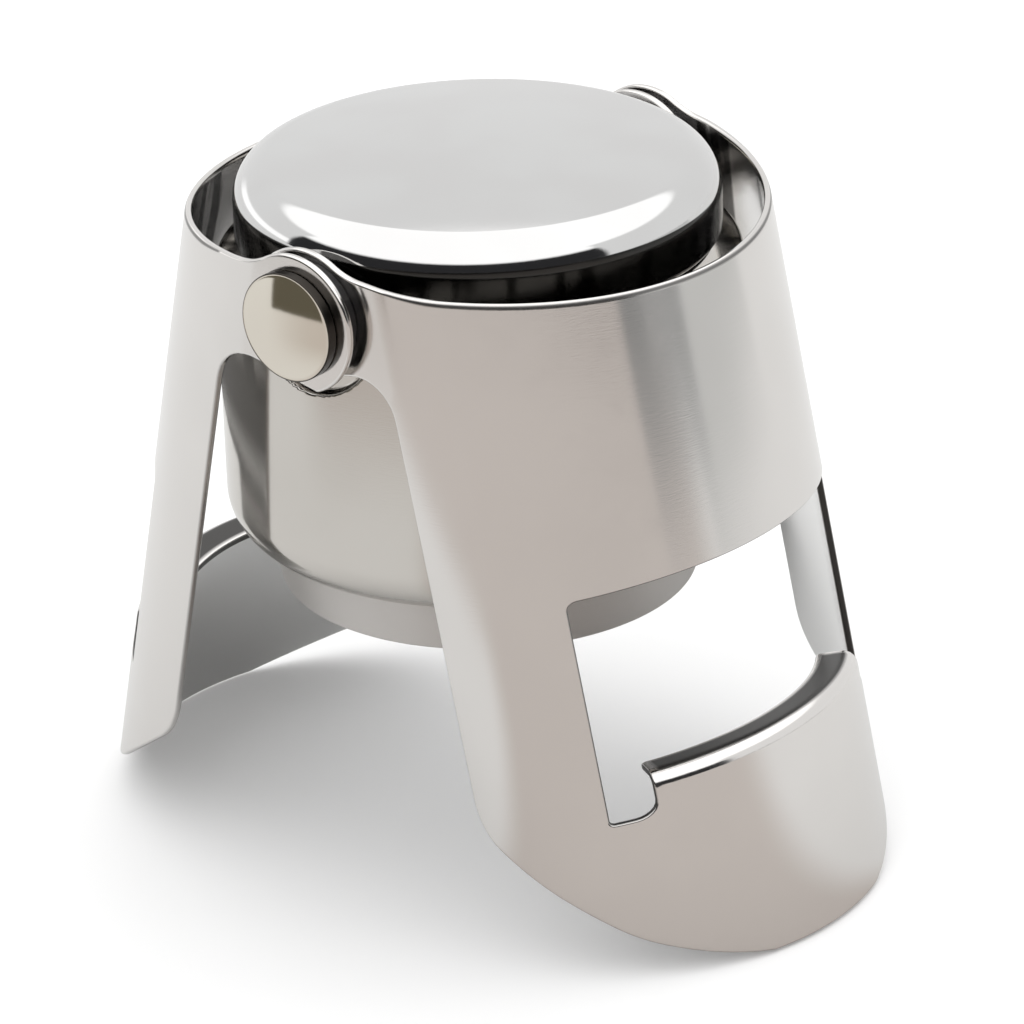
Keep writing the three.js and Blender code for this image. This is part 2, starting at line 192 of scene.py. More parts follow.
def grid_faces(rows, columns, rows_close, columns_close):
    """Cells (i, j), (i + 1, j), (i + 1, j + 1), (i, j + 1) of a grid of points numbered row by row. Where the
    rows or the columns close, the last joins the first."""
    i, j = np.meshgrid(np.arange(rows - (not rows_close)), np.arange(columns - (not columns_close)),
                       indexing="ij")
    i2, j2 = (i + 1) % rows, (j + 1) % columns
    corners = [i * columns + j, i2 * columns + j, i2 * columns + j2, i * columns + j2]
    return np.stack(corners, -1).reshape(-1, 4)


def fan_faces(middle, ring):
    """Triangles from a point to each side of a ring of points."""
    return np.stack([0 * ring + middle, ring, np.roll(ring, -1)], -1)


# Looks of the materials

def toward(angle):
    """Level direction at an angle from +X towards +Y, in degrees."""
    return math.cos(math.radians(angle)), math.sin(math.radians(angle)), 0.0


def grey(level):
    """Colour with all three parts alike."""
    return level, level, level


class Wire:
    """A value in a material: Python's operators on it add Math nodes."""

    def __init__(self, finish, socket):
        self.finish, self.socket = finish, socket

    def math(self, operation, *values):
        """Result of a Math node."""
        return self.finish.node("ShaderNodeMath", dict(enumerate(values)), operation=operation)

    def vector(self, operation, *others, out="Value"):
        """Result of a Vector Math node on this value: a number, or a vector by out."""
        values = dict(enumerate((self, *others)))
        return self.finish.node("ShaderNodeVectorMath", values, out, operation=operation)

    def __add__(self, other):
        return self.math("ADD", self, other)

    def __radd__(self, other):
        return self.math("ADD", other, self)

    def __sub__(self, other):
        return self.math("SUBTRACT", self, other)

    def __rsub__(self, other):
        return self.math("SUBTRACT", other, self)

    def __mul__(self, other):
        return self.math("MULTIPLY", self, other)

    def __rmul__(self, other):
        return self.math("MULTIPLY", other, self)

    def toward(self, angle):
        """How far a direction points to a level angle, as a cosine."""
        return self.vector("DOT_PRODUCT", toward(angle))

    def height(self):
        """How far up a place or a direction is."""
        return self.vector("DOT_PRODUCT", (0.0, 0.0, 1.0))

    def step(self, low, high):
        """0 below low, 1 above high, smooth between."""
        return self.finish.node("ShaderNodeMapRange", {0: self, 1: low, 2: high, 3: 0.0, 4: 1.0},
                                interpolation_type="SMOOTHSTEP")


class Finish:
    """A node tree and the one way its nodes are made."""

    def __init__(self, tree):
        self.tree = tree
        tree.nodes.clear()

    def node(self, kind, values=None, out=0, **settings):
        """New node: its inputs by name or number, the output to read it by, and its settings."""
        made = self.tree.nodes.new(kind)
        for key, value in settings.items():
            setattr(made, key, value)
        for key, value in (values or {}).items():
            socket = made.inputs[key]
            if isinstance(value, Wire):
                self.tree.links.new(value.socket, socket)
            else:
                socket.default_value = value
        return Wire(self, made.outputs[out]) if made.outputs else None

    def place(self):
        """Place on the piece, in its own coordinates in metres."""
        return self.node("ShaderNodeTexCoord", out="Object")

    def mix(self, share, first, second):
        """First colour, and second where share is 1."""
        first, second = (c if isinstance(c, Wire) else (*c, 1.0) for c in (first, second))
        return self.node("ShaderNodeMix", {0: share, 6: first, 7: second}, 2, data_type="RGBA")

    def noise(self, scale, detail=3.0, rough=0.5, stretch=(1, 1, 1)):
        """Noise over the piece's own coordinates, scale in cells per metre."""
        mapped = self.node("ShaderNodeMapping", {"Vector": self.place(), "Scale": stretch})
        return self.node("ShaderNodeTexNoise", {"Vector": mapped, "Scale": scale, "Detail": detail,
                                                "Roughness": rough})

    def bump(self, height, strength, distance, **under):
        """Relief of a height, over another relief if one is given as Normal."""
        values = {"Strength": strength, "Distance": distance, "Height": height}
        return self.node("ShaderNodeBump", values | under)

    def surface(self, values):
        """Principled shader on the material's output."""
        self.node("ShaderNodeOutputMaterial", {0: self.node("ShaderNodeBsdfPrincipled", values)})


def new_finish(name):
    """New material and its empty node tree."""
    material = bpy.data.materials.new(name)
    material.use_nodes = True
    return material, Finish(material.node_tree)


def metal(name, colour, tint, roughness, spread, line=(1, 1, 1), waves=0.12, grain=0.05, parts=None):
    """Polished or satin metal: two close tones in slow patches, rubbed patches and fine lines in the
    roughness, pressing waves and fine lines in the relief. Parts in another finish, or in painted light and
    shade, give each its share over the surface, its colour and its roughness."""
    material, f = new_finish(name)
    patch = f.noise(90, 2)
    rubbed = f.noise(260, 4, 0.6).step(0.52, 0.72)
    lines = f.noise(900, 3, 0.6, line)
    tone = f.mix(patch.step(0.35, 0.65), colour, tint)
    rough = roughness + spread * (0.35 * patch + 0.4 * rubbed + 0.5 * (lines - 0.5))
    for share, other, dull in parts(f) if parts else ():
        tone = f.mix(share, tone, other)
        rough = rough + share * (dull - roughness)
    relief = f.bump(lines, grain, 0.04 * MM, Normal=f.bump(f.noise(70, 1, 0.4), waves, 0.6 * MM))
    f.surface({"Base Color": tone, "Metallic": 1.0, "Roughness": rough, "Normal": relief})
    return material


def rubber(name, colour, roughness, grain=0.25):
    """Moulded rubber or nylon: a speckled tone, dull and glossier patches, and a fine moulded skin."""
    material, f = new_finish(name)
    patch = f.noise(180, 3)
    speckle = f.noise(2600, 2, 0.6)
    light = tuple(min(1.0, c * 1.35 + 0.01) for c in colour)
    tone = f.mix(patch.step(0.3, 0.7) * 0.5 + 0.3 * speckle, colour, light)
    f.surface({"Base Color": tone, "Roughness": roughness + 0.2 * (patch - 0.5),
               "Normal": f.bump(speckle, grain, 0.08 * MM)})
    return material


def above(f, low, high):
    """0 below a height, 1 above another."""
    return f.place().height().step((PIVOT + low) * MM, (PIVOT + high) * MM)


def wing_parts(f):
    """Inside, the sheet is painted pale low down, a painted light, and painted dark up at the rims, a painted
    shade, with pale streaks of painted reflection there. Its sheared edges and the lip's top are dull, and
    painted dark: painted shade."""
    inner = f.node("ShaderNodeAttribute", out="Fac", attribute_name="inner")
    dull_and_shade = f.node("ShaderNodeAttribute", out="Fac", attribute_name="dull_and_shade")
    streak = f.noise(420, 1, 0.5, (1, 1, 0.04)).step(0.38, 0.52) * above(f, -10.0, -5.0)
    # Painted light: the inner face is paler than the outside steel. Painted shade: it is dark up at the rims,
    # with pale streaks of painted reflection
    return [(inner, (0.88, 0.88, 0.875), 0.14),
            (inner * above(f, -22.0, -14.0), (0.13, 0.127, 0.124), 0.14),
            (inner * streak, (0.8, 0.79, 0.78), 0.14),
            # Painted shade: the sheared edges, the rim's outer corner and the lip's top are painted dark,
            # with a duller roughness
            (dull_and_shade, (0.07, 0.068, 0.066), 0.35)]


def cup_parts(f):
    """The turned foot of the cup is satin, and the lower cup under it a duller grey."""
    return [(1 - above(f, -23.2, -20.5), (0.62, 0.595, 0.56), 0.3),
            (1 - above(f, -23.6, -23.4), (0.7, 0.68, 0.66), 0.4)]


def dome_parts(f):
    """The dome's side, down inside the rims of the wings, is painted dark: painted shade."""
    return [(1 - above(f, 4.32, 4.42), (0.05, 0.049, 0.047), 0.15)]


def rivet_parts(f):
    """The side of the rivet's head is painted dark, a painted shade: all that is more than 4.2 from the
    rivet's axis.
    """
    level = f.place().vector("MULTIPLY", (1.0, 0.0, 1.0), out="Vector")
    ring = level.vector("DISTANCE", (0.0, 0.0, PIVOT * MM))
    return [(ring.step(4.16 * MM, 4.24 * MM), (0.05, 0.045, 0.04), 0.3)]


FINISHES = dict(
    wing_steel=metal("wing_steel", (0.74, 0.72, 0.70), (0.72, 0.70, 0.68), 0.12, 0.05, (1, 1, 12),
                     parts=wing_parts),
    dome_steel=metal("dome_steel", (0.68, 0.68, 0.675), (0.66, 0.655, 0.65), 0.06, 0.03, waves=0.05,
                     parts=dome_parts),
    cup_steel=metal("cup_steel", (0.61, 0.585, 0.55), (0.59, 0.565, 0.53), 0.1, 0.05, (1, 1, 14),
                    parts=cup_parts),
    plain_steel=metal("plain_steel", (0.56, 0.555, 0.545), (0.5, 0.495, 0.49), 0.3, 0.12, waves=0.1,
                      grain=0.2),
    spring_steel=metal("spring_steel", (0.5, 0.5, 0.5), (0.42, 0.42, 0.43), 0.28, 0.12, waves=0.1,
                       grain=0.2),
    rivet_nickel=metal("rivet_nickel", (0.74, 0.7, 0.62), (0.7, 0.655, 0.58), 0.05, 0.02, waves=0.03,
                       grain=0.02, parts=rivet_parts),
    seal_rubber=rubber("seal_rubber", (0.03, 0.03, 0.032), 0.55),
    bush_nylon=rubber("bush_nylon", (0.72, 0.71, 0.66), 0.45),
    washer_nylon=rubber("washer_nylon", (0.035, 0.035, 0.038), 0.4))

# Every CAD node takes its slot's finish
for part in frame["record"]["subparts"]:
    for socket in NODES[part["node"]].material_slots:
        socket.material = FINISHES[part["material_slot"]]


# Pieces

def place(points, facing, lay=None):
    """Points and directions turned if a turn is given, and the points put in metres in the frame."""
    if lay is not None:
        turn = np.array(lay)
        points, facing = points @ turn.T, facing @ turn.T
    return (points + [0, 0, PIVOT]) * MM, facing


def put_mesh(name, points, faces, normals, body, slot, replaces, values=None):
    """One piece from points in metres, its faces, the surface's own normal at each point, and named values
    there."""
    mesh = bpy.data.meshes.new(name)
    mesh.from_pydata(points, [], faces)
    mesh.polygons.foreach_set("use_smooth", np.ones(len(mesh.polygons), bool))
    mesh.normals_split_custom_set_from_vertices(normals)
    for key, amounts in (values or {}).items():
        mesh.attributes.new(key, "FLOAT", "POINT").data.foreach_set("value", amounts)
    mesh.materials.append(FINISHES[slot])
    mesh.update()
    piece = bpy.data.objects.new(name, mesh)
    bpy.context.scene.collection.objects.link(piece)
    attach(piece, body)
    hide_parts(*replaces)
    return piece


def profile_normals(profile):
    """Normal of a closed profile at each point: its sides' normals, weighted by their lengths. Where the
    profile starts and ends on the axis, the side along the axis counts for nothing."""
    side = np.roll(profile, -1, 0) - profile
    across = np.stack([side[:, 1], -side[:, 0]], 1)
    if profile[0, 0] == 0:
        across[-1] = 0
    both = across + np.roll(across, 1, 0)
    if profile[0, 0] == 0:
        both[[0, -1], 0] = 0
    return unit(both)


def turned(profile, steps=180, crowd=0.0):
    """Surface (r cos a, r sin a, z): the closed profile (r, z) carried round the axis, angle by angle, with
    the axis at its left. The angles are a = t + crowd / 2 sin 2t for even steps t, so that they draw together
    at the front and rear. A profile that starts and ends on the axis is closed by one point at each pole."""
    normals = profile_normals(profile)
    poles = profile[0, 0] == 0
    body = slice(1, -1) if poles else slice(None)
    r, z, out, up = profile[body, 0], profile[body, 1], normals[body, 0], normals[body, 1]
    t = np.linspace(0, 2 * np.pi, steps, endpoint=False)[:, None]
    a = t + crowd / 2 * np.sin(2 * t)
    points = np.stack([r * np.cos(a), r * np.sin(a), z + 0 * a], -1).reshape(-1, 3)
    facing = np.stack([out * np.cos(a), out * np.sin(a), up + 0 * a], -1).reshape(-1, 3)
    count = len(r)
    faces = grid_faces(steps, count, True, not poles).tolist()
    if poles:
        ring = np.arange(steps) * count
        faces += fan_faces(steps * count, ring)[:, [0, 2, 1]].tolist()
        faces += fan_faces(steps * count + 1, ring + count - 1).tolist()
        points = np.concatenate([points, [[0, 0, profile[0, 1]], [0, 0, profile[-1, 1]]]])
        facing = np.concatenate([facing, [[0, 0, normals[0, 1]], [0, 0, normals[-1, 1]]]])
    return points, faces, facing


def turned_piece(name, profile, body, slot, replaces, lay=None, shape=None, steps=180, crowd=0.0):
    """Turned piece, reshaped by shape and laid over by a turn if they are given."""
    points, faces, facing = turned(np.asarray(profile, float), steps, crowd)
    if shape is not None:
        points, facing = shape(points, facing)
    points, facing = place(points, facing, lay)
    return put_mesh(name, points, faces, facing, body, slot, replaces)


# Wings

class Plan:
    """Outer side of the wing sheet seen from above, by the length s from its middle: a round of
    WING_RADIUS, then a bend of WING_BEND, then a flat ear at the front or the rear."""

    def __init__(self):
        self.ends = {}
        for side, flat in ((-1, EAR_FRONT), (1, EAR_REAR)):
            middle, across = WING_RADIUS - WING_BEND, flat - WING_BEND
            x = math.sqrt(middle ** 2 - across ** 2)
            start = math.atan2(across, x)
            bend = WING_RADIUS * start
            self.ends[side] = (x, across, start, bend, bend + WING_BEND * (math.pi / 2 - start))

    def at(self, s):
        """Points (x, y) and the angle of the outward normal."""
        points, angles = np.zeros(s.shape + (2,)), np.zeros(s.shape)
        d = np.abs(s)
        for side, (x, across, start, bend, flat) in self.ends.items():
            here = s < 0 if side < 0 else s >= 0
            a = np.where(d < bend, d / WING_RADIUS, np.minimum(start + (d - bend) / WING_BEND, np.pi / 2))
            px = np.where(d < bend, WING_RADIUS * np.cos(a),
                          x + WING_BEND * np.cos(a) - np.maximum(d - flat, 0))
            py = np.where(d < bend, WING_RADIUS * np.sin(a), across + WING_BEND * np.sin(a))
            points[here] = np.stack([px, side * py], -1)[here]
            angles[here] = (side * a)[here]
        return points, angles

    def length(self, x, side):
        """Length s at which the sheet reaches x, on the front or the rear half."""
        cx, _, start, bend, flat = self.ends[side]
        round_part = WING_RADIUS * np.arccos(np.clip(x / WING_RADIUS, -1, 1))
        bend_part = bend + WING_BEND * (np.arccos(np.clip((x - cx) / WING_BEND, -1, 1)) - start)
        flat_part = flat + cx - x
        round_end = WING_RADIUS * math.cos(start)
        return side * np.where(x >= round_end, round_part, np.where(x >= cx, bend_part, flat_part))


PLAN = Plan()


def side_outline():
    """Rim, ear, leg and foot of the wing seen along the pivot line, from the middle of the rim to that of
    the foot."""
    slant = math.hypot(1, RIM_FALL)
    up, along = np.array([RIM_FALL, 1]) / slant, np.array([1, -RIM_FALL]) / slant
    lift = RIM_HEIGHT / slant + EAR_FILLET
    centre = up * lift + along * math.sqrt((EAR_RADIUS + EAR_FILLET) ** 2 - lift ** 2)
    ear = math.atan2(centre[1], centre[0])
    fillet = arc(*centre, EAR_FILLET, math.atan2(-up[1], -up[0]), ear - math.pi, 14)
    round_ear = arc(0, 0, EAR_RADIUS, ear, math.pi + math.asin(EAR_FOOT / EAR_RADIUS), 60)[1:]
    ear_side = math.sqrt(EAR_RADIUS ** 2 - EAR_FOOT ** 2)
    foot = WING_RADIUS - FOOT_INSET
    leg = rounded([(-ear_side, -EAR_FOOT, 0), (LEG_EDGE, -EAR_FOOT, LEG_FILLET),
                   (LEG_EDGE, FOOT_RISE - FOOT_DROP, FOOT_RADIUS),
                   (foot - FOOT_RUN, FOOT_STEP - FOOT_DROP, FOOT_BEND), (foot, -FOOT_DROP, 0),
                   (WING_RADIUS, -FOOT_DROP - FOOT_INSET * math.tan(OPEN), 0)])[1:]
    return np.concatenate([[[WING_RADIUS, RIM_HEIGHT - RIM_FALL * WING_RADIUS]], fillet, round_ear, leg])


def window_outline():
    """Window with its notches, and the flat length of the catch lip standing up from its lower edge."""
    tip = LIP_BEND * math.pi / 2 + LIP_DEPTH - LIP_BEND - LIP_DROP
    return rounded([(WING_RADIUS, -WINDOW_TOP, 0), (WINDOW_REACH, -WINDOW_TOP, WINDOW_CORNER),
                    (WINDOW_REACH, -NOTCH_FOOT, NOTCH_CORNER), (NOTCH_REACH, -NOTCH_FOOT, NOTCH_END),
                    (NOTCH_REACH, tip, LIP_CORNER), (WING_RADIUS, tip, 0)], 6)


def developed(outline, side, step=0.45):
    """Outline (x, z) laid flat as (s, z), with points every step along the sheet."""
    chain = []
    for (x0, z0), (x1, z1) in zip(outline[:-1], outline[1:]):
        s0, s1 = PLAN.length(np.array([x0, x1]), side)
        count = max(1, math.ceil(math.hypot(s1 - s0, z1 - z0) / step))
        share = np.arange(count) / count
        s = s0 + (s1 - s0) * share
        if abs(x1 - x0) > 1e-6:
            share = (PLAN.at(s)[0][:, 0] - x0) / (x1 - x0)
        chain.append(np.stack([s, z0 + (z1 - z0) * share], 1))
    chain.append(np.array([[PLAN.length(outline[-1:, 0], side)[0], outline[-1, 1]]]))
    return np.concatenate(chain)


def both_halves(outline):
    """Closed loop of an outline on the front half and back along the rear half."""
    front, rear = developed(outline, -1), developed(outline, 1)
    return np.concatenate([front, rear[::-1][1:-1]])


def winding(loop):
    """1 for a loop that runs anticlockwise, -1 for one that runs clockwise."""
    x, y = loop.T
    return np.sign(np.sum(x * np.roll(y, -1) - np.roll(x, -1) * y))


def outward(loop, hole):
    """Vector at each point of a loop that points out of the sheet, lengthened at corners to keep its
    offset."""
    side = unit(np.roll(loop, -1, 0) - loop)
    across = np.stack([side[:, 1], -side[:, 0]], 1) * winding(loop) * (-1 if hole else 1)
    before = np.roll(across, 1, 0)
    return (across + before) / (1 + np.sum(across * before, 1))[:, None]


def over_lip(s, v):
    """Length of the flat sheet beyond the lip's root: v + LIP_DROP above it, between the notches and under
    the window's middle."""
    reach = WING_RADIUS * math.acos(NOTCH_REACH / WING_RADIUS) + 0.5
    return np.where((np.abs(s) < reach) & (v < -WINDOW_TOP - 8), np.maximum(v + LIP_DROP, 0), 0)


def bent(s, v, depth):
    """Place of a point of the flat sheet, length s, height v, depth below its outer face: the plan's point
    moved in along its normal; above the lip's root the height goes round the lip's bend and then inwards.
    Gives the points, the face's normal and the directions of s and v."""
    points, angle = PLAN.at(s)
    out = np.stack([np.cos(angle), np.sin(angle), 0 * angle], -1)
    along = np.stack([-np.sin(angle), np.cos(angle), 0 * angle], -1)
    over = over_lip(s, v)
    turn = np.minimum(over / LIP_BEND, np.pi / 2)
    run = np.maximum(over - LIP_BEND * np.pi / 2, 0)
    reach = np.where(over > 0, LIP_BEND * (np.cos(turn) - 1) - run, 0)
    height = np.where(over > 0, LIP_BEND * np.sin(turn) - LIP_DROP, v)
    up = np.array([0, 0, 1.0])
    face = out * np.cos(turn)[:, None] + up * np.sin(turn)[:, None]
    rise = up * np.cos(turn)[:, None] - out * np.sin(turn)[:, None]
    spots = np.concatenate([points, height[:, None]], 1) + out * reach[:, None] - face * depth[:, None]
    return spots, face, along, rise


def inside(points, loops):
    """Whether each point lies in the sheet: it crosses the loops an odd number of times on its way up."""
    odd = np.zeros(len(points), bool)
    for loop in loops:
        a, b = loop, np.roll(loop, -1, 0)
        spans = (a[:, 0] > points[:, :1]) != (b[:, 0] > points[:, :1])
        width = np.where(np.abs(b[:, 0] - a[:, 0]) < 1e-12, 1, b[:, 0] - a[:, 0])
        cross = a[:, 1] + (points[:, :1] - a[:, 0]) / width * (b[:, 1] - a[:, 1])
        odd ^= (np.sum(spans & (cross > points[:, 1:]), 1) % 2).astype(bool)
    return odd


def edge_section():
    """Section of a sheared edge, row by row from the outer face over its two rounded corners to the inner
    face: how far in and how deep each row lies, and how much its normal points off the face and outwards."""
    q = np.linspace(0, np.pi / 2, EDGE_ROWS)
    both = np.concatenate([q, q[::-1]])
    depth = np.concatenate([EDGE * (1 - np.cos(q)), SHEET - EDGE * (1 - np.cos(q[::-1]))])
    lean = np.concatenate([np.cos(q), -np.cos(q[::-1])])
    return EDGE * (1 - np.sin(both)), depth, lean, np.sin(both)


def dull_and_shade_shares(s, v, rows, hole):
    """Share of the dull finish and painted shade on each row and point of an edge: a dark colour that stands
    in for shade, with a duller roughness. On the rows of the sheared face it is 1 in the window and the pin
    holes, LEG_DULL_AND_SHADE on the legs, less at the foot and 0 at the ear. Along the rim it is
    RIM_DULL_AND_SHADE on two rows at the outer corner, a dark line of painted shade."""
    row = np.arange(rows)
    sheared = np.clip((np.minimum(row, row[::-1]) - 1) / 2, 0, 1)
    if hole:
        return np.outer(sheared, np.ones(len(v)))
    foot, top = FOOT_RISE - FOOT_DROP, RIM_RISE[0]
    legs = np.interp(v, [foot, foot + 4, top - 1, top], [FOOT_DULL_AND_SHADE, LEG_DULL_AND_SHADE, LEG_DULL_AND_SHADE, 0])
    # Painted shade: two rows of dark colour along the rim's outer corner
    rim_line = np.repeat([0, RIM_DULL_AND_SHADE, 0], [1, 2, rows - 3])
    return np.outer(sheared, legs) + np.outer(rim_line, (v > top) & (s < RIM_LINE_END))


def edge_band(loop, hole):
    """Sheared edge of the sheet: the edge's section carried along a loop, EDGE wide or up to RIM_EDGE along
    the rim, with an ellipse's normal (off the face cos q, outwards sin q / width). Gives its points, normals,
    shares of inner face and of the dull finish with painted shade, faces, and the flat loop where it meets
    the faces."""
    inset, depth, lean, out = edge_section()
    rows, count = len(inset), len(loop)
    s, v = np.abs(loop[:, 0]), loop[:, 1]
    away = outward(loop, hole)
    rim = np.interp(v, RIM_RISE, [0, 1]) * np.interp(s, RIM_ENDS, [1, 0]) * (not hole)
    wide = 1 + (RIM_EDGE / EDGE - 1) * rim
    flat = loop[None] - away[None] * inset[:, None, None] * wide[:, None]
    points, face, along, rise = bent(*flat.reshape(-1, 2).T, np.repeat(depth, count))
    way = np.tile(unit(away), (rows, 1))
    edge = along * way[:, :1] + rise * way[:, 1:]
    share = np.repeat(out, count) / np.tile(wide, rows)
    facing = unit(face * np.repeat(lean, count)[:, None] + edge * share[:, None])
    inner = np.repeat(np.arange(rows) == rows - 1, count).astype(float)
    dull_and_shade = dull_and_shade_shares(s, v, rows, hole).reshape(-1)
    forward = (winding(loop) > 0) != hole
    faces = grid_faces(rows, count, False, True)[:, [1, 2, 3, 0] if forward else [0, 3, 2, 1]]
    return points, facing, inner, dull_and_shade, faces, flat[0]


def grid_points(low, high, steps):
    """Even grid of points from low to below high."""
    s, v = (np.arange(*ends) for ends in zip(low, high, steps))
    return np.stack(np.meshgrid(s, v), -1).reshape(-1, 2)


def filled(loops):
    """Points of an even grid inside the loops and of a closer one at the lip's bend, all clear of the loops,
    and the triangles between them and the loops' own points."""
    lip_ends = (-LIP_REACH, -LIP_DROP), (LIP_REACH + 0.1, -LIP_DROP + LIP_HEIGHT)
    spots = np.concatenate([grid_points(loops[0].min(0) + GRID_START, loops[0].max(0), GRID_STEPS),
                            grid_points(*lip_ends, LIP_STEPS)])
    spots = spots[inside(spots, loops)]
    border = np.concatenate(loops)
    batch = 500
    near = np.concatenate([np.min(np.hypot(*(spots[k:k + batch, None] - border).transpose(2, 0, 1)), 1)
                           for k in range(0, len(spots), batch)])
    spots = spots[near > GRID_CLEAR]
    sides, start = [], 0
    for loop in loops:
        i = np.arange(len(loop))
        sides += (np.stack([i, (i + 1) % len(loop)], 1) + start).tolist()
        start += len(loop)
    pattern = np.concatenate([border, spots])
    found = delaunay_2d_cdt([Vector(p) for p in pattern], sides, [], 0, 1e-7)
    assert len(found[0]) == len(pattern), (len(found[0]), len(pattern))
    triangles = np.array(found[2])
    return spots, triangles[inside(pattern[triangles].mean(1), loops)]


def wing_sheet():
    """Wing blank laid flat as (s, v), trimmed by its outline, window and pin holes, with a rounded band along
    each of these loops and both faces filled, and bent to shape. Gives points, faces and normals, and two
    values at each point: inner, 1 on the inner face, and cut, the share of the dull finish and painted shade
    on the sheared edges and the lip's top."""
    pin = np.linspace(0, 2 * np.pi, 40, endpoint=False)
    loops = [both_halves(side_outline()), both_halves(window_outline())]
    for side in (-1, 1):
        middle = PLAN.length(np.array([0.0]), side)[0]
        loops.append(np.stack([middle + PIN_HOLE * np.cos(pin), PIN_HOLE * np.sin(pin)], 1))
    parts, flats, tops, feet, base = [], [], [], [], 0
    for number, loop in enumerate(loops):
        points, facing, inner, dull_and_shade, faces, flat = edge_band(loop, number > 0)
        parts.append((points, facing, inner, dull_and_shade, faces + base))
        flats.append(flat)
        tops.append(base + np.arange(len(loop)))
        base += len(points)
        feet.append(base - len(loop) + np.arange(len(loop)))
    spots, triangles = filled(flats)
    s, v = spots.T
    count = len(spots)
    for borders, depth, back in ((tops, 0.0, False), (feet, SHEET, True)):
        number = np.concatenate(borders + [base + np.arange(count)])
        points, face, _, _ = bent(s, v, np.full(count, depth))
        # The lip's top takes the painted shade: a dark colour with a duller roughness
        lip_top = (over_lip(s, v) > LIP_BEND * 1.1) * (not back)
        faces = number[triangles][:, ::-1] if back else number[triangles]
        parts.append((points, -face if back else face, np.full(count, float(back)), lip_top, faces))
        base += count
    points, facing, inner, dull_and_shade, faces = zip(*parts)
    faces = [face for part in faces for face in part.tolist()]
    values = {"inner": np.concatenate(inner), "dull_and_shade": np.concatenate(dull_and_shade)}
    return np.concatenate(points), faces, np.concatenate(facing), values


def swing(half_turn):
    """Turn that opens a wing about the pivot line, and then takes the left wing half round."""
    c, s = math.cos(OPEN), math.sin(OPEN)
    turn = np.array([[c, 0, -s], [0, 1, 0], [s, 0, c]])
    return np.diag([-1.0, -1.0, 1.0]) @ turn if half_turn else turn


sheet_points, sheet_faces, sheet_facing, sheet_values = wing_sheet()
for wing, body, half_turn in (("wing_right", "right_wing", False), ("wing_left", "left_wing", True)):
    wing_points, wing_facing = place(sheet_points, sheet_facing, swing(half_turn))
    put_mesh(wing + "_sheet", wing_points, sheet_faces, wing_facing, body, "wing_steel", [wing], sheet_values)


# Dome and cup

def dome_profile():
    """Drawn dome: side over the cup's neck, tight shoulder and low crown, with its inside a sheet below."""
    radius = span("dome_cap")[0]
    side, corner = CUP_TOP + 0.3, 0.15

    def wall(t, steps):
        """Shoulder and crown a depth t below the outside, from the side to the axis."""
        shoulder = arc(radius - SHOULDER, side, SHOULDER - t, 0, math.pi / 2 - CROWN, steps)
        crown = shoulder[-1, 0] / math.sin(CROWN)
        middle = shoulder[-1, 1] - crown * math.cos(CROWN)
        rise = arc(0, middle, crown, math.pi / 2 - CROWN, math.pi / 2, 30)[1:]
        rise[-1, 0] = 0.0
        return np.concatenate([shoulder, rise])
    inner = radius - DOME_SHEET
    foot = rounded([(inner, side, 0), (inner, DOME_FOOT, corner), (radius, DOME_FOOT, corner),
                    (radius, side, 0)], 4)[1:-1]
    return np.concatenate([wall(DOME_SHEET, 20)[::-1], foot, wall(0, 40)])


turned_piece("dome", dome_profile(), "cap", "dome_steel", ["dome_cap"], steps=240)


def cup_profile():
    """Drawn cup: inturned foot, straight wall, shoulder, neck, top plate with its well, and the same inside.
    The wall's points lie close together above the fine height, where the pads are pressed in."""
    middle, inner, hole, fine = CUP_RADIUS - CUP_FOOT, CUP_RADIUS - CUP_SHEET, 3.93, -6.6
    under_top, under_well = CUP_TOP - CUP_SHEET, WELL_TOP - CUP_SHEET
    neck_inner, well_outer = NECK_RADIUS - DOME_SHEET, WELL_RADIUS + CUP_SHEET
    wall_top, inner_top = NECK_FOOT - 0.7, NECK_FOOT - 1.1
    outside = arc(middle, CUP_STRAIGHT, CUP_FOOT, -CUP_FOOT_TURN, 0, 20)
    inside_foot = arc(middle, CUP_STRAIGHT, CUP_FOOT - CUP_SHEET, 0, -CUP_FOOT_TURN, 12)
    rise = np.concatenate([np.linspace(CUP_STRAIGHT, fine, 10)[1:], np.linspace(fine, wall_top, 36)[1:]])
    fall = np.linspace(inner_top, CUP_STRAIGHT, 40)[:-1]
    top = rounded([(CUP_RADIUS, wall_top, 0), (CUP_RADIUS, NECK_FOOT, 1.2), (NECK_RADIUS, NECK_BEND, 0.2),
                   (NECK_RADIUS, CUP_TOP, 0.3), (WELL_RADIUS, CUP_TOP, 0.3), (WELL_RADIUS, WELL_TOP, 0.3),
                   (hole, WELL_TOP, 0.1), (hole, under_well, 0.1), (well_outer, under_well, 0.5),
                   (well_outer, under_top, 0.3), (neck_inner, under_top, 0.3),
                   (neck_inner, NECK_BEND - 0.7, 0.3), (inner, NECK_FOOT - 0.6, 0.8), (inner, inner_top, 0)],
                  6)[1:-1]
    return np.concatenate([outside, np.stack([0 * rise + CUP_RADIUS, rise], 1), top,
                           np.stack([0 * fall + inner, fall], 1), inside_foot])


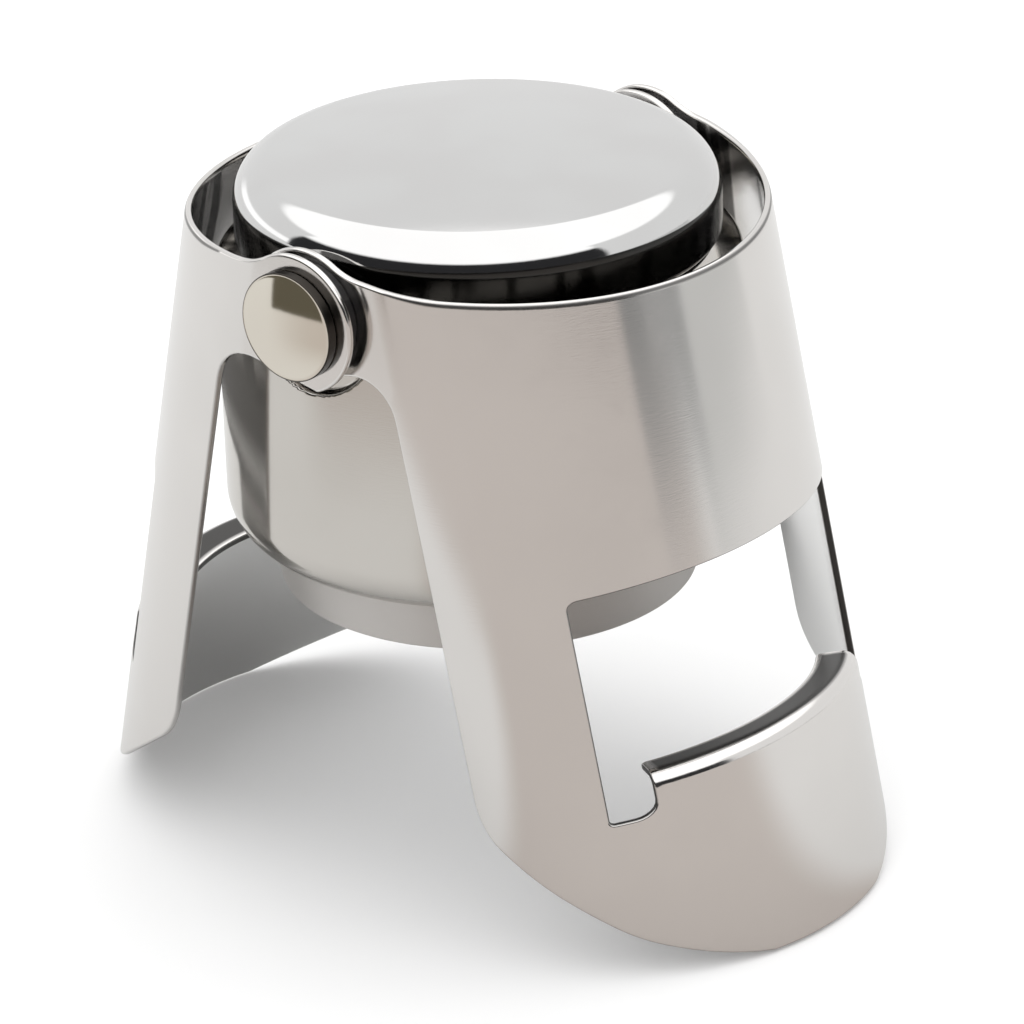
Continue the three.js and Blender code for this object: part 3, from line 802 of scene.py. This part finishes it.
def press_flats(points, facing):
    """Round flats pressed in at the two pivots. Within the pad's circle a point farther from the middle
    than the flat goes to y = flat + (1 - share) (y - flat), where share runs smoothly from 0 outside the
    circle to 1 inside it across PAD_EDGE. The normal n becomes (1 - share) n - n.y w, with w the gradient
    of that move."""
    x, y, z = points[:, 0], np.abs(points[:, 1]), points[:, 2]
    way = np.where(points[:, 1] < 0, -1.0, 1.0)
    ring = np.hypot(x, z)
    wall = np.interp(z, [NECK_FOOT - 0.3, NECK_BEND - 0.4],
                     [CUP_RADIUS - CUP_SHEET / 2, NECK_RADIUS - DOME_SHEET / 2])
    flat = np.where(np.hypot(x, y) > wall, FLAT_FACE, FLAT_FACE - CUP_SHEET)
    t = np.clip((PAD_RADIUS - ring) / PAD_EDGE + 0.5, 0, 1)
    share, slope = t * t * (3 - 2 * t), -6 * t * (1 - t) / PAD_EDGE
    over = np.maximum(y - flat, 0)
    share = np.where(over > 0, share, 0)
    push = slope * over / np.maximum(ring, 1e-9)
    gradient = np.stack([-push * x, -share, -push * z], 1)
    mirror = np.stack([0 * way + 1, way, 0 * way + 1], 1)
    n = facing * mirror
    n = n * (1 - share)[:, None] - gradient * n[:, 1:2]
    n /= np.maximum(np.linalg.norm(n, axis=1, keepdims=True), 1e-9)
    return np.stack([x, way * (y - share * over), z], 1), n * mirror


turned_piece("cup", cup_profile(), "cap", "cup_steel", ["outer_cup"], shape=press_flats, steps=360, crowd=0.6)


# Lower cup, seal, stem and spring

def tier_profile():
    """Lower cup: flange, top plate, and a wall that narrows to a rolled foot."""
    flange, foot, top = span("inner_cup")
    sheet, gap, taper, straight = 0.7, 0.45, 1, -23.6
    middle = CUP_RADIUS - CUP_FOOT
    radius = middle + (CUP_FOOT - CUP_SHEET) * math.cos(CUP_FOOT_TURN) - gap
    inner, under = radius - sheet, top - sheet
    return rounded([(STEM_HOLE, under, 0.1), (inner, under, 0.6), (inner, straight, 4.0),
                    (inner - taper, foot, 0.3), (radius - taper, foot, 0.33), (radius, straight, 4.0),
                    (radius, under, 0.3), (flange, under, 0.25), (flange, top, 0.25),
                    (STEM_HOLE, top, 0.1)], 8)


turned_piece("lower_cup", tier_profile(), "plunger", "cup_steel", ["inner_cup"])


def seal_profile():
    """Rubber seal: a flat ring with a plug under it."""
    radius, foot, top = span("seal_disc")
    hole, face, plug_foot, plug_top = 2.11, top - 2.4, 8.2, 8.8
    return rounded([(hole, foot, 0.2), (plug_foot, foot, 0.6), (plug_top, face, 0.4), (radius, face, 0.3),
                    (radius, top, 0.3), (hole, top, 0.1)], 8)


turned_piece("seal", seal_profile(), "plunger", "seal_rubber", ["seal_disc"])


def washer_profile():
    """Flat washer with stamped edges."""
    radius, foot, top = span("seal_washer")
    return rounded([(STEM_HOLE, foot, 0.1), (radius, foot, 0.2), (radius, top, 0.15),
                    (STEM_HOLE, top, 0.1)], 6)


turned_piece("clamp_washer", washer_profile(), "plunger", "plain_steel", ["seal_washer"])


def screw_profile():
    """Stem screw: low domed head, short side, and a plain shank with a chamfered end."""
    radius, foot, top = span("stem_screw")
    shank, rise, side = 2.05, 0.6, 0.5
    reach, edge, under = radius - 0.15, foot + rise, foot + rise + side
    ball = (radius ** 2 + rise ** 2) / (2 * rise)
    head = arc(0, foot + ball, ball, -math.pi / 2, -math.pi / 2 + math.asin(reach / ball), 16)
    head[0, 0] = 0.0
    rest = rounded([(reach, edge - 0.04, 0), (radius, edge, 0.1), (radius, under, 0.1), (shank, under, 0.2),
                    (shank, top, 0.3), (0, top, 0)], 6)[1:]
    return np.concatenate([head, rest])


turned_piece("screw", screw_profile(), "plunger", "plain_steel", ["stem_screw"], steps=96)


def coil():
    """Spring wire: a circle carried along the helix (R cos a, R sin a, rise), in the plane of the outward
    direction e and of b = e x T, square to it and to the wire's direction T: c + w (e cos u + b sin u). Each
    end is closed by one point in its middle. Gives points, faces and normals, and the spring's top and
    length."""
    reach, foot, top = span("seal_spring")
    ring, sides, steps = reach - SPRING_WIRE, 20, 40 * SPRING_TURNS
    a = np.linspace(0, 2 * np.pi * SPRING_TURNS, steps + 1)[:, None]
    u = np.linspace(0, 2 * np.pi, sides, endpoint=False)[None]
    rise = top - foot - 2 * SPRING_WIRE
    lead = math.atan(rise / (a[-1, 0] * ring))
    c, s = np.cos(a), np.sin(a)
    facing = np.stack([c * np.cos(u) + s * math.sin(lead) * np.sin(u),
                       s * np.cos(u) - c * math.sin(lead) * np.sin(u),
                       math.cos(lead) * np.sin(u) + 0 * a], -1)
    middle = np.stack([ring * c, ring * s, foot + SPRING_WIRE + rise * a / a[-1, 0]], -1)
    points = (middle + SPRING_WIRE * facing).reshape(-1, 3)
    along = np.array([0, math.cos(lead), math.sin(lead)])
    start = np.arange(sides)
    faces = grid_faces(steps + 1, sides, False, True).tolist()
    faces += fan_faces(len(points), start).tolist()
    faces += fan_faces(len(points) + 1, steps * sides + start)[:, [0, 2, 1]].tolist()
    return (np.concatenate([points, middle[0], middle[-1]]), faces,
            np.concatenate([facing.reshape(-1, 3), [-along, along]]), top, rise + 2 * SPRING_WIRE)


coil_points, coil_faces, coil_facing, coil_top, coil_length = coil()
coil_points, coil_facing = place(coil_points, coil_facing)
coil_spring = put_mesh("coil_spring", coil_points, coil_faces, coil_facing, "cap", "spring_steel",
                       ["seal_spring"])
(PIVOT + coil_top) * MM
1 - TRAVEL / coil_length
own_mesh(coil_spring)


# Rivets

def rivet_profile():
    """Rivet on its axis: tail, shank, and a low head whose edge is rounded into a shallow dome."""
    tip, tail = -RIVET_LOW.y / MM, -RIVET_HIGH.y / MM
    head, shank, under, rise, tail_head, tail_rise = 4.3, 1.6, 22.27, 0.25, 2.05, 0.8
    reach, edge = head - 0.12, tip - rise + 0.03
    ball = (reach ** 2 + rise ** 2) / (2 * rise)
    cap = arc(0, tip - ball, ball, math.pi / 2 - math.asin(reach / ball), math.pi / 2, 16)
    cap[-1, 0] = 0.0
    side = rounded([(shank, under, 0), (head, under, 0.12), (head, edge, 0.1), (reach, edge, 0)], 8)[:-1]
    end = rounded([(0, tail, 0), (tail_head, tail, 0.2), (tail_head, tail + tail_rise, 0.1),
                   (shank, tail + tail_rise, 0)], 4)
    return np.concatenate([end, side, cap])


for end, way in (("front", 1), ("rear", -1)):
    lay = Matrix.Rotation(way * math.pi / 2, 3, "X")
    turned_piece("rivet_head_" + end, rivet_profile(), "cap", "rivet_nickel", ["rivet_" + end], lay, steps=96)


# Studio and camera

FLOOR_RADIUS = 3.0
FLOOR_DROP = 0.0002
FLOOR_SIDES = 96
WARM = (0.55, 0.51, 0.485)


def floor_paint():
    """Pale paint that glows a little to the eye. To all other rays the floor goes over into the room: warm
    grey in front and to the right, two cooler greys far out beside it, and a dark patch at the front left
    that the rivet's head mirrors. Distances are in metres from the stopper."""
    material, f = new_finish("floor_paint")
    spot = f.place()
    way = spot.vector("NORMALIZE", out="Vector")
    far = spot.vector("LENGTH")
    pale = f.mix(f.noise(1.5, 2) * 0.1, grey(0.88), grey(0.84))
    room = f.mix(way.toward(-95).step(0.8, 0.95) * far.step(0.09, 0.13), (0.73, 0.73, 0.725), WARM)
    room = f.mix(way.toward(-30).step(0.62, 0.79), room, WARM)
    room = f.mix(way.toward(40).step(0.93, 0.955) * far.step(0.2, 0.4), room, (0.53, 0.535, 0.53))
    room = f.mix(way.toward(13).step(0.968, 0.978) * far.step(0.42, 0.58), room, (0.26, 0.265, 0.265))
    room = f.mix(way.toward(-120).step(0.986, 0.989) * far.step(0.165, 0.172), room, (0.1, 0.09, 0.065))
    eye = f.node("ShaderNodeLightPath", out="Is Camera Ray")
    f.surface({"Base Color": f.mix(eye, room, pale), "Roughness": 0.9, "Specular IOR Level": 0.1,
               "Emission Color": f.mix(eye, grey(0.0), grey(0.1)), "Emission Strength": 1.0})
    return material


def studio():
    """Pale floor, and a pale room, bright overhead and low down at the left, dark low down at the front."""
    mesh = bpy.data.meshes.new("floor")
    ring = arc(0, 0, FLOOR_RADIUS, 0, 2 * np.pi, FLOOR_SIDES)[:-1]
    mesh.from_pydata(np.pad(ring, ((0, 0), (0, 1)), constant_values=-FLOOR_DROP), [],
                     [list(range(FLOOR_SIDES))])
    floor = bpy.data.objects.new("floor", mesh)
    bpy.context.scene.collection.objects.link(floor)
    mesh.materials.append(floor_paint())

    world = bpy.data.worlds.new("studio")
    bpy.context.scene.world = world
    world.use_nodes = True
    f = Finish(world.node_tree)
    direction = f.node("ShaderNodeTexCoord", out="Generated")
    height = direction.height()
    front = direction.toward(-69).step(0.17, 0.23)
    overhead = height.step(0.56, 0.62)
    left = direction.toward(-165).step(0.75, 0.88) * height.step(0.0, 0.05) * (1 - height.step(0.13, 0.2))
    bright = overhead + front * (1 - overhead) * height.step(0.46, 0.52) + left
    dark = front * (1 - height.step(0.42, 0.48))
    colour = f.mix(bright, grey(0.93), grey(1.5))
    colour = f.mix(dark, colour, (0.03, 0.03, 0.032))
    colour = f.mix(f.node("ShaderNodeLightPath", out="Is Camera Ray"), colour, grey(1.0))
    background = f.node("ShaderNodeBackground", {"Color": colour, "Strength": 1.0})
    f.node("ShaderNodeOutputWorld", {0: background})


def camera():
    """Camera fitted to the photograph: on a ray from the pivot's height, turned a little off it."""
    azimuth, elevation, distance = math.radians(39.526), math.radians(21.708), 0.4273
    yaw, pitch, roll = math.radians(-0.248), math.radians(2.917), math.radians(-1.809)
    focal_pixels, photo_pixels, sensor = 5488.2, 1024, 36.0
    level = Vector((math.cos(azimuth), math.sin(azimuth), 0))
    back = Vector((math.sin(azimuth) * math.cos(elevation), -math.cos(azimuth) * math.cos(elevation),
                   math.sin(elevation)))
    axis = (back + math.tan(yaw) * level + math.tan(pitch) * back.cross(level)).normalized()
    right = Vector((0, 0, 1)).cross(axis).normalized()
    up = axis.cross(right)
    c, s = math.cos(roll), math.sin(roll)
    turn = Matrix((c * right + s * up, c * up - s * right, axis)).transposed()
    data = bpy.data.cameras.new("camera")
    data.sensor_width, data.lens = sensor, sensor * focal_pixels / photo_pixels
    data.clip_start, data.clip_end = 0.01, 20
    eye = bpy.data.objects.new("camera", data)
    eye.matrix_world = Matrix.Translation(back * distance + Vector((0, 0, PIVOT * MM))) @ turn.to_4x4()
    bpy.context.scene.collection.objects.link(eye)
    bpy.context.scene.camera = eye


studio()
camera()
bpy.context.scene.view_settings.view_transform = "Standard"
